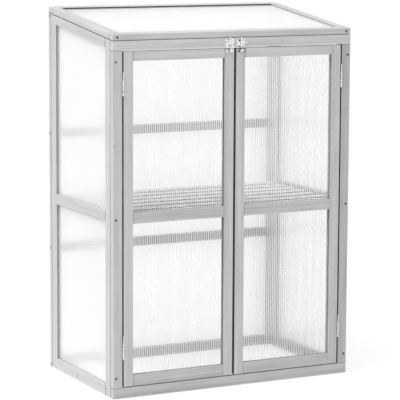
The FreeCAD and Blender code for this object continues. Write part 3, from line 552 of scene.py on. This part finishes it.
def stained_wood(name, wood, colour):
    """Pine under a thin grey stain: growth rings, fibres, streaks, soft blotches and a few knots."""
    recipe = Recipe(bpy.data.materials.new(name))
    grain = recipe.attribute("grain")
    across, through = recipe.parts(grain)[1:]
    radius = (across * across + through * through) ** 0.5
    sway = recipe.noise(grain, SWAY_CELLS, detail=1) * RING_SWAY
    rings = ((radius + sway) * (2 * math.pi / wood.ring_pitch)).sine()
    fibres = recipe.swing(grain, FIBRE_CELLS, detail=3)
    streaks = recipe.swing(grain, STREAK_CELLS)
    blotches = recipe.swing(grain, BLOTCH_CELLS, detail=3)
    knots = knot_mask(recipe)
    arris = recipe.attribute("arris", "Fac")
    # Eased edges painted lighter as wear and as a highlight
    worn_and_highlit = arris.clamped()
    # Joints painted dark as shade
    joint = (arris * -1).clamped()
    pattern = rings * RING_SHADE + fibres * FIBRE_SHADE + streaks * STREAK_SHADE + blotches * BLOTCH_SHADE
    shade = (pattern + worn_and_highlit * WEAR_AND_HIGHLIGHT_SHADE) * wood.contrast
    board = recipe.attribute("tone_and_shade", "Fac") * wood.board_tone
    # Painted shade in gaps, rebates, on the slats' edges and inside the cabinet, kept off the brightened
    # edges
    painted_gap_shade = recipe.attribute("depth", "Fac") * (1 - worn_and_highlit) * wood.gap_shade
    brightness = (shade + board + 1) * (1 - painted_gap_shade) * (1 - joint * wood.joint_shade)
    stain = recipe.shaded(tuple(colour), brightness)
    relief = fibres + streaks * STREAK_RELIEF + rings * RING_RELIEF + knots * KNOT_RELIEF
    roughness = fibres * FIBRE_ROUGHNESS + knots * KNOT_ROUGHNESS + WOOD_ROUGHNESS
    return recipe.finish(recipe.surface({
        "Base Color": recipe.mix(knots, stain, (*wood.knot, 1)),
        "Roughness": roughness.clamped(),
        "Normal": recipe.bump(relief, WOOD_RELIEF),
    }))


def knot_mask(recipe):
    """How strongly a knot shows: most at its heart, 0 away from it, with a soft uneven rim."""
    place = recipe.place()
    ragged = recipe.swing(place, KNOT_CELLS)
    mask = None
    for point, radius, strength in KNOTS:
        away = recipe.distance(place, point) + ragged * radius
        knot = away.ramp(radius * KNOT_HEART, radius, strength, 0)
        mask = knot if mask is None else mask.most(knot)
    return mask


def hollow_sheet(glazing):
    """Clear hollow sheet that bends light beside its webs and looks milky at a slant."""
    recipe = Recipe(bpy.data.materials.new("fluted_sheet"))
    across = recipe.parts(recipe.attribute("grain"))[0]
    flute = across.wave(glazing.flute_pitch)
    web = flute.ramp(WEB_CORE, WEB_REACH, 1, 0)
    lens = flute.ramp(0, LENS_REACH * glazing.flute_pitch)
    facing = recipe.node("ShaderNodeLayerWeight", output="Facing")
    slant = facing.ramp(SLANT_START, SLANT_END)
    ahead = 1 - slant
    blur = web * ahead * glazing.web_blur + slant * glazing.slant_blur + FLUTE_BLUR
    bending = recipe.surface({
        "Base Color": (*glazing.tint, 1),
        "Roughness": blur.clamped(),
        "IOR": SHEET_IOR,
        "Transmission Weight": 1.0,
        "Normal": recipe.bump(lens * ahead, FLUTE_RELIEF),
    })
    lit = recipe.node("ShaderNodeBsdfDiffuse", {}, {"Color": (*glazing.tint, 1)})
    backlit = recipe.node("ShaderNodeBsdfTranslucent", {}, {"Color": (*glazing.tint, 1)})
    from_inside = recipe.node("ShaderNodeNewGeometry", output="Backfacing")
    milky = recipe.blend(from_inside.most(glazing.backlit_share), lit, backlit)
    cover = slant * recipe.attribute("skin", "Fac") * glazing.slant_cover
    sheet = recipe.blend(cover.clamped(), bending, milky)
    # Shadows pass straight through, so that the lamps reach the inside
    shadow = recipe.node("ShaderNodeLightPath", output="Is Shadow Ray")
    clear = recipe.node("ShaderNodeBsdfTransparent", {}, {"Color": (*glazing.shadow_tint, 1)})
    return recipe.finish(recipe.blend(shadow, sheet, clear))


def plated_metal(name, colour, roughness, stain=0, brass=None):
    """Plating with a fine mottle, rolling marks and dark spots; brass is only for the one brass screw."""
    recipe = Recipe(bpy.data.materials.new(name))
    place = recipe.place()
    mottle = recipe.swing(place, MOTTLE_CELLS, detail=3)
    rolling = recipe.swing(place, ROLLING_CELLS)
    # Dark spots: partly stains, partly painted shade and reflection
    spots = recipe.noise(place, SPOT_CELLS).ramp(SPOT_START, SPOT_FULL, 1, 1 - stain)
    # Painted shade in the gaps between laths and on the undersides
    painted_metal_shade = recipe.attribute("depth", "Fac") * GAP_PAINTED_SHADE
    brightness = (mottle * MOTTLE_SHADE + rolling * ROLLING_SHADE + 1) * spots * (1 - painted_metal_shade)
    plating = tuple(colour)
    if brass is not None:
        near = recipe.distance(place, BRASS_SCREW_PLACE).ramp(*BRASS_SCREW_REACH, 1, 0)
        plating = recipe.mix(near, (*colour, 1), (*brass, 1))
    return recipe.finish(recipe.surface({
        "Base Color": recipe.shaded(plating, brightness),
        "Metallic": PLATING_METALLIC,
        "Roughness": (mottle * MOTTLE_ROUGHNESS + roughness).clamped(),
        "Normal": recipe.bump(mottle, METAL_RELIEF),
    }))


def floor_paper(colour):
    """White paper that glows a little to the camera, so that the shadow on it looks soft."""
    recipe = Recipe(bpy.data.materials.new("floor_paper"))
    shade = recipe.swing(recipe.place(), FLOOR_CELLS) * FLOOR_MOTTLE + 1
    lit = recipe.node("ShaderNodeBsdfDiffuse", {}, {"Color": recipe.shaded(tuple(colour), shade)})
    glow = recipe.node("ShaderNodeEmission", {}, {"Color": (1, 1, 1, 1), "Strength": 1.0})
    return recipe.finish(recipe.blend(seen_directly(recipe) * FLOOR_GLOW, lit, glow))


def seen_directly(recipe):
    """1 for what the camera, a reflection or a clear pane shows, 0 for light that falls on the object."""
    camera = recipe.node("ShaderNodeLightPath", output="Is Camera Ray")
    glossy = recipe.node("ShaderNodeLightPath", output="Is Glossy Ray")
    clear = recipe.node("ShaderNodeLightPath", output="Is Transmission Ray")
    scattered = recipe.node("ShaderNodeLightPath", output="Diffuse Depth")
    return camera.most(glossy).most(clear) * (1 - scattered.clamped())


# Meshes

def surveyed_mesh():
    """An empty mesh with what the finishes read.

    grain is a place along, across and through a lath, or across, along and through a sheet.
    tone is how much lighter or darker a lath took the stain; on the listed rails it is painted shade.
    arris is 1 on an eased edge, painted light as wear and highlight, -1 in a joint, painted dark as shade.
    depth is the painted shade of a side, 1 deep in a gap, groove or hole. skin is 1 on the outside of a
    sheet.
    """
    bm = bmesh.new()
    bm.verts.layers.float_vector.new("grain")
    for name in ("tone_and_shade", "arris", "depth", "skin"):
        bm.faces.layers.float.new(name)
    return bm


def merged_copy(node):
    """The node's mesh as a bmesh, its loose triangles joined into whole faces."""
    bm = surveyed_mesh()
    bm.from_mesh(frame["nodes"][node].data)
    bmesh.ops.remove_doubles(bm, verts=bm.verts, dist=WELD)
    bmesh.ops.dissolve_limit(bm, angle_limit=FLAT, verts=bm.verts, edges=bm.edges)
    return bm


def solids(bm):
    """The separate solids of a mesh, each as a list of its faces."""
    for face in bm.faces:
        face.tag = False
    found = []
    for start in bm.faces:
        if start.tag:
            continue
        start.tag = True
        solid = [start]
        for face in solid:
            for edge in face.edges:
                for other in edge.link_faces:
                    if not other.tag:
                        other.tag = True
                        solid.append(other)
        found.append(solid)
    return found


def corners_of(solid):
    """The vertices of a solid, each once, in a fixed order."""
    return list(dict.fromkeys(vert for face in solid for vert in face.verts))


def outer_sides(solid):
    """The flat outer sides of a lath, without those of its grooves and holes."""
    places = [vert.co for vert in corners_of(solid)]
    outer = set()
    for face in solid:
        level = face.normal.dot(face.verts[0].co)
        outermost = all(face.normal.dot(place) < level + WELD for place in places)
        if outermost and face.calc_area() > LEAST_SIDE:
            outer.add(face)
    return outer


def outer_edges(solid, outer):
    """The edges where two outer sides of a lath meet."""
    edges = dict.fromkeys(edge for face in solid if face in outer for edge in face.edges)
    return [
        edge for edge in edges
        if edge.is_manifold and outer.issuperset(edge.link_faces) and edge.calc_face_angle() > CORNER
    ]


def longest_run(edges):
    """The direction of the longest of these edges."""
    longest = max(edges, key=lambda edge: edge.calc_length())
    return (longest.verts[1].co - longest.verts[0].co).normalized()


def ease_edges(bm, edges, width, segments=2):
    """Rounds these edges and marks the new faces as arrises, painted light on laths as wear and highlight.
    """
    made = bmesh.ops.bevel(
        bm, geom=edges, offset=width, offset_type="OFFSET", affect="EDGES", segments=segments,
        profile=0.5, material=-1, clamp_overlap=True,
    )
    arris = bm.faces.layers.float["arris"]
    for face in made["faces"]:
        face[arris] = 1
    return made["faces"]


class Board:
    """The space that a lath fills, as a box along its own run."""

    def __init__(self, node):
        self.node = node
        sloping = node in LID_LATHS or node.endswith("side_top_rail")
        self.turn = Matrix.Rotation(-ROOF_ANGLE if sloping else 0, 3, "X")
        places = [self.turn @ vert.co for vert in frame["nodes"][node].data.vertices]
        self.low = Vector(min(place[axis] for place in places) for axis in range(3))
        self.high = Vector(max(place[axis] for place in places) for axis in range(3))

    def holds(self, point):
        """Whether a point lies in this space."""
        place = self.turn @ point
        return all(low < value < high for low, value, high in zip(self.low, place, self.high))


def faces_inside(face):
    """Whether a side of a lath looks into the cabinet."""
    low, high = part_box("shelf_ledgers")
    ahead = face.calc_center_median() + face.normal * INSIDE_REACH
    return low.x < ahead.x < high.x and low.y < ahead.y < high.y


def spread_over(face):
    """The middle of a face and places half way to its corners."""
    middle = face.calc_center_median()
    return [middle, *((middle + vert.co) / 2 for vert in face.verts)]


def in_gap(face, others):
    """Whether other laths stand close in front of the whole of a side."""
    return all(
        any(board.holds(place + face.normal * reach) for board in others for reach in GAP_REACHES)
        for place in spread_over(face)
    )


def beside_groove(face, outer):
    """Whether a side borders on a groove."""
    return any(
        other not in outer and other.calc_area() > LEAST_SIDE
        for edge in face.edges
        for other in edge.link_faces
    )


def shade_depths(bm, node, solid, outer, others):
    """Marks painted shade on the sides of a lath in a groove, hole or gap, beside a pane or inside the
    cabinet.
    """
    depth = bm.faces.layers.float["depth"]
    broadest = max(face.calc_area() for face in outer)
    for face in solid:
        broad = face.calc_area() > broadest * BROAD_SIDE
        if face not in outer:
            face[depth] = 1
        elif node == "shelf_slats":
            face[depth] = 0 if broad else SLAT_EDGE_DEPTH
        elif in_gap(face, others):
            face[depth] = 1
        elif beside_groove(face, outer) and not broad:
            face[depth] = DEEP_REBATES.get(node, REBATE_DEPTH)
        elif faces_inside(face):
            face[depth] = INSIDE_DEPTH


def mark_joints(bm, node, faces, others):
    """Marks the arrises along which a lath meets another for painted shade, and paints shade on those
    beside some gaps.
    """
    arris = bm.faces.layers.float["arris"]
    depth = bm.faces.layers.float["depth"]
    for face in faces:
        aside = longest_run(face.edges).cross(face.normal) * JOINT_REACH
        if all(
            any(board.holds(place + aside) or board.holds(place - aside) for board in others)
            for place in spread_over(face)
        ):
            face[arris] = -1
        elif node in GAP_RAILS and any(
            other[depth] == 1 and other[arris] == 0 for edge in face.edges for other in edge.link_faces
        ):
            face[arris] = 0
            face[depth] = GAP_ARRIS_DEPTH


def lay_grain(bm, node):
    """Gives each lath its own run of grain, heart of the tree and tone, which on some rails is painted
    shade.
    """
    grain = bm.verts.layers.float_vector["grain"]
    tone_and_shade = bm.faces.layers.float["tone_and_shade"]
    for number, solid in enumerate(solids(bm)):
        chance = random.Random(f"{node} {number}")
        run = longest_run([edge for face in solid for edge in face.edges])
        face_side = max(solid, key=lambda face: face.calc_area()).normal.copy()
        edge_side = face_side.cross(run)
        corners = corners_of(solid)
        middle = sum((vert.co for vert in corners), Vector()) / len(corners)
        turn = Matrix.Rotation(chance.uniform(0, 2 * math.pi), 2)
        heart = turn @ Vector((chance.uniform(*HEART_REACH), 0))
        start = Vector((chance.uniform(0, GRAIN_SHIFT), heart.x, heart.y))
        axes = Matrix((run, edge_side, face_side))
        for vert in corners:
            vert[grain] = axes @ (vert.co - middle) + start
        own_tone = chance.uniform(-TONE_SPREAD, TONE_SPREAD)
        # Listed laths are set darker instead: painted shade on the horizontal and low rails
        lath_tone_and_shade = next((value for ending, value in DARKER_LATHS.items() if node.endswith(ending)), own_tone)
        for face in solid:
            face[tone_and_shade] = lath_tone_and_shade


def dress(name, bm, node, material):
    """Makes a flat shaded piece of this mesh that stands for a node and moves with its body."""
    mesh = bpy.data.meshes.new(name)
    for face in bm.faces:
        face.smooth = False
    bm.to_mesh(mesh)
    bm.free()
    mesh.materials.append(material)
    piece = bpy.data.objects.new(name, mesh)
    bpy.context.scene.collection.objects.link(piece)
    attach(piece, frame["nodes"][node]["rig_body"])
    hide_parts(node)


def build_laths(nodes, finish, wood, colour, arris):
    """Laths with eased edges in place of these nodes."""
    name, slot = finish
    material = bpy.data.materials.get(name) or stained_wood(name, wood, colour)
    boards = [Board(node) for node in ALL_FRAME_LATHS]
    for node in nodes:
        others = [board for board in boards if board.node != node and node not in SHELF_LATHS]
        bm = merged_copy(node)
        edges = []
        for solid in solids(bm):
            outer = outer_sides(solid)
            shade_depths(bm, node, solid, outer, others)
            edges += outer_edges(solid, outer)
        mark_joints(bm, node, ease_edges(bm, edges, arris), others)
        lay_grain(bm, node)
        dress(f"{node}_lath", bm, node, material)


def build_pane(node, glazing, material):
    """Closed sheets in place of a node's hollow ones, marked with their flutes and their outer faces."""
    source = merged_copy(node)
    bm = surveyed_mesh()
    for solid in solids(source):
        hull = [bm.verts.new(vert.co) for vert in corners_of(solid)]
        made = bmesh.ops.convex_hull(bm, input=hull)
        inside = [item for item in made["geom_interior"] if item.is_valid]
        bmesh.ops.delete(bm, geom=inside, context="VERTS")
    source.free()
    bmesh.ops.dissolve_limit(bm, angle_limit=FLAT, verts=bm.verts, edges=bm.edges)
    cut_edges = [edge for edge in bm.edges if edge.calc_face_angle() > CORNER]
    ease_edges(bm, cut_edges, glazing.edge_ease, segments=1)
    skin = bm.faces.layers.float["skin"]
    low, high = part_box("shelf_ledgers")
    middle = (low + high) / 2
    for face in bm.faces:
        face[skin] = face.normal.dot(face.calc_center_median() - middle) > 0
    grain = bm.verts.layers.float_vector["grain"]
    for vert in bm.verts:
        across, through = (vert.co.y, vert.co.x) if "_side_" in node else (vert.co.x, vert.co.y)
        vert[grain] = (across, vert.co.z, through)
    dress(f"{node}_sheet", bm, node, material)


def between_laths(place, boards):
    """Whether a place lies in the narrow gap between two upright laths."""
    return all(
        any(board.holds(place + Vector((side, 0, 0))) for board in boards)
        for side in (-HINGE_GAP_REACH, HINGE_GAP_REACH)
    )


def build_fitting(node, metal, boards, material):
    """A copy of a metal fitting with eased edges and painted shade underneath and in the gaps between
    laths.
    """
    bm = merged_copy(node)
    depth = bm.faces.layers.float["depth"]
    for face in bm.faces:
        if between_laths(face.calc_center_median() - face.normal * LEAF_REACH, boards):
            face[depth] = 1
        else:
            # Painted shade: full in the gaps between laths, and on undersides by how far they face down
            face[depth] = max(-face.normal.z * UNDERSIDE_PAINTED_SHADE, 0)
    sharp = [
        edge for edge in bm.edges
        if edge.is_manifold and edge.is_convex and edge.calc_face_angle() > CORNER
    ]
    ease_edges(bm, sharp, metal.sheet_ease)
    dress(f"{node}_plated", bm, node, material)


def paint_node(node, material):
    """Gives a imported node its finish, its shape unchanged."""
    slots = frame["nodes"][node].data.materials
    slots.clear()
    slots.append(material)


# Operators

class BuildFrames(bpy.types.Operator):
    """Laths of the front, back and side frames"""

    bl_idname = "greenhouse.build_frames"
    bl_label = "Build Frames"

    def execute(self, context):
        wood = context.scene.greenhouse_wood
        build_laths(FRONT_LATHS, FRAME_FINISH, wood, wood.stain, wood.arris)
        build_laths(BACK_LATHS + SIDE_LATHS, FRAME_FINISH, wood, wood.stain, wood.side_arris)
        return {"FINISHED"}


class BuildDoors(bpy.types.Operator):
    """Laths of the two doors"""

    bl_idname = "greenhouse.build_doors"
    bl_label = "Build Doors"

    def execute(self, context):
        wood = context.scene.greenhouse_wood
        build_laths(DOOR_LATHS, FRAME_FINISH, wood, wood.stain, wood.arris)
        return {"FINISHED"}


class BuildLid(bpy.types.Operator):
    """Laths of the sloping lid"""

    bl_idname = "greenhouse.build_lid"
    bl_label = "Build Lid"

    def execute(self, context):
        wood = context.scene.greenhouse_wood
        build_laths(LID_LATHS, FRAME_FINISH, wood, wood.stain, wood.arris)
        return {"FINISHED"}


class BuildShelf(bpy.types.Operator):
    """Slats, battens and ledgers of the shelf"""

    bl_idname = "greenhouse.build_shelf"
    bl_label = "Build Shelf"

    def execute(self, context):
        wood = context.scene.greenhouse_wood
        build_laths(SHELF_LATHS, SHELF_FINISH, wood, wood.shelf_stain, wood.shelf_arris)
        return {"FINISHED"}


class BuildPanes(bpy.types.Operator):
    """Hollow sheets of the sides, back, doors and lid"""

    bl_idname = "greenhouse.build_panes"
    bl_label = "Build Panes"

    def execute(self, context):
        glazing = context.scene.greenhouse_glazing
        material = hollow_sheet(glazing)
        for node in PANES:
            build_pane(node, glazing, material)
        return {"FINISHED"}


class BuildFittings(bpy.types.Operator):
    """Hinges, bolts and keepers"""

    bl_idname = "greenhouse.build_fittings"
    bl_label = "Build Fittings"

    def execute(self, context):
        metal = context.scene.greenhouse_metal
        boards = [Board(node) for node in FRONT_LATHS + DOOR_LATHS]
        for nodes, name, stain in (
            (BOLT_FITTINGS, "bolt_zinc", metal.stain),
            (HINGE_FITTINGS, "hinge_zinc", metal.hinge_stain_and_shade),
        ):
            material = plated_metal(name, metal.zinc, FITTING_ROUGHNESS, stain)
            for node in nodes:
                build_fitting(node, metal, boards, material)
        return {"FINISHED"}


class FinishScrews(bpy.types.Operator):
    """Plating of the long and the small screws"""

    bl_idname = "greenhouse.finish_screws"
    bl_label = "Finish Screws"

    def execute(self, context):
        metal = context.scene.greenhouse_metal
        for nodes, name, colour, brass in (
            # The long screws' near black is partly plating, partly painted shade of their sunk holes
            (LONG_SCREWS, "dark_plated_shaded_screw", metal.screw, metal.brass),
            (SMALL_SCREWS, "zinc_plated_screw", metal.zinc, None),
        ):
            material = plated_metal(name, colour, SCREW_ROUGHNESS, brass=brass)
            for node in nodes:
                paint_node(node, material)
        return {"FINISHED"}


class SetStage(bpy.types.Operator):
    """Floor, lamps and camera"""

    bl_idname = "greenhouse.set_stage"
    bl_label = "Set Stage"

    def execute(self, context):
        stage = context.scene.greenhouse_stage
        context.scene.view_settings.view_transform = "Standard"
        self.lay_floor(context, stage)
        self.light_sky(context, stage)
        self.hang_lamp(context, stage)
        self.place_camera(context, stage)
        return {"FINISHED"}

    def lay_floor(self, context, stage):
        """A wide sheet of white paper."""
        bm = bmesh.new()
        bmesh.ops.create_grid(bm, x_segments=1, y_segments=1, size=FLOOR_REACH)
        mesh = bpy.data.meshes.new("floor")
        bm.to_mesh(mesh)
        bm.free()
        mesh.materials.append(floor_paper(stage.floor))
        floor = bpy.data.objects.new("floor", mesh)
        context.scene.collection.objects.link(floor)

    def light_sky(self, context, stage):
        """Even light from all round, which looks pure white."""
        recipe = Recipe(bpy.data.worlds.new("studio"))
        strength = seen_directly(recipe) * (1 - stage.sky) + stage.sky
        glow = recipe.node("ShaderNodeBackground", {}, {"Color": (1, 1, 1, 1), "Strength": strength})
        context.scene.world = recipe.finish(glow, "ShaderNodeOutputWorld")

    def hang_lamp(self, context, stage):
        """One large soft lamp."""
        lamp = bpy.data.lights.new("key", "SUN")
        lamp.energy = stage.key_strength
        lamp.angle = stage.key_softness
        hung = bpy.data.objects.new("key", lamp)
        hung.rotation_euler = Vector(stage.key_direction).to_track_quat("Z", "Y").to_euler()
        context.scene.collection.objects.link(hung)

    def place_camera(self, context, stage):
        """A camera that looks as the photograph does."""
        camera = bpy.data.cameras.new("camera")
        camera.lens = stage.lens
        camera.sensor_width = SENSOR_WIDTH
        camera.shift_y = stage.shift
        placed = bpy.data.objects.new("camera", camera)
        yaw = Matrix.Rotation(stage.camera_yaw, 4, "Z")
        pitch = Matrix.Rotation(math.pi / 2 - stage.camera_pitch, 4, "X")
        roll = Matrix.Rotation(stage.camera_roll, 4, "Z")
        placed.matrix_world = Matrix.Translation(stage.camera_place) @ yaw @ pitch @ roll
        context.scene.collection.objects.link(placed)
        context.scene.camera = placed


class GreenhousePanel(bpy.types.Panel):
    """Steps that build the greenhouse"""

    bl_idname = "VIEW3D_PT_greenhouse"
    bl_label = "Mini Greenhouse"
    bl_space_type = "VIEW_3D"
    bl_region_type = "UI"
    bl_category = "Greenhouse"

    def draw(self, context):
        for step in STEPS:
            self.layout.operator(step.bl_idname)
        for group, kind in SETTINGS.items():
            settings = getattr(context.scene, group)
            box = self.layout.box()
            for name in kind.__annotations__:
                box.prop(settings, name)


# Operators in the order in which they run, and the scene's settings
STEPS = (BuildFrames, BuildDoors, BuildLid, BuildShelf, BuildPanes, BuildFittings, FinishScrews, SetStage)
SETTINGS = {
    "greenhouse_wood": GreenhouseWood,
    "greenhouse_glazing": GreenhouseGlazing,
    "greenhouse_metal": GreenhouseMetal,
    "greenhouse_stage": GreenhouseStage,
}


def register():
    for kind in (*SETTINGS.values(), *STEPS, GreenhousePanel):
        bpy.utils.register_class(kind)
    for name, group in SETTINGS.items():
        setattr(bpy.types.Scene, name, bpy.props.PointerProperty(type=group))


def unregister():
    for name in SETTINGS:
        delattr(bpy.types.Scene, name)
    for kind in reversed((*SETTINGS.values(), *STEPS, GreenhousePanel)):
        bpy.utils.unregister_class(kind)


def main():
    """Builds the greenhouse step by step in place of what a new file holds."""
    register()
    for name in ("Cube", "Light", "Camera"):
        if name in bpy.data.objects:
            bpy.data.objects.remove(bpy.data.objects[name])
    for step in STEPS:
        group, action = step.bl_idname.split(".")
        getattr(getattr(bpy.ops, group), action)()


if __name__ == "__main__":
    main()
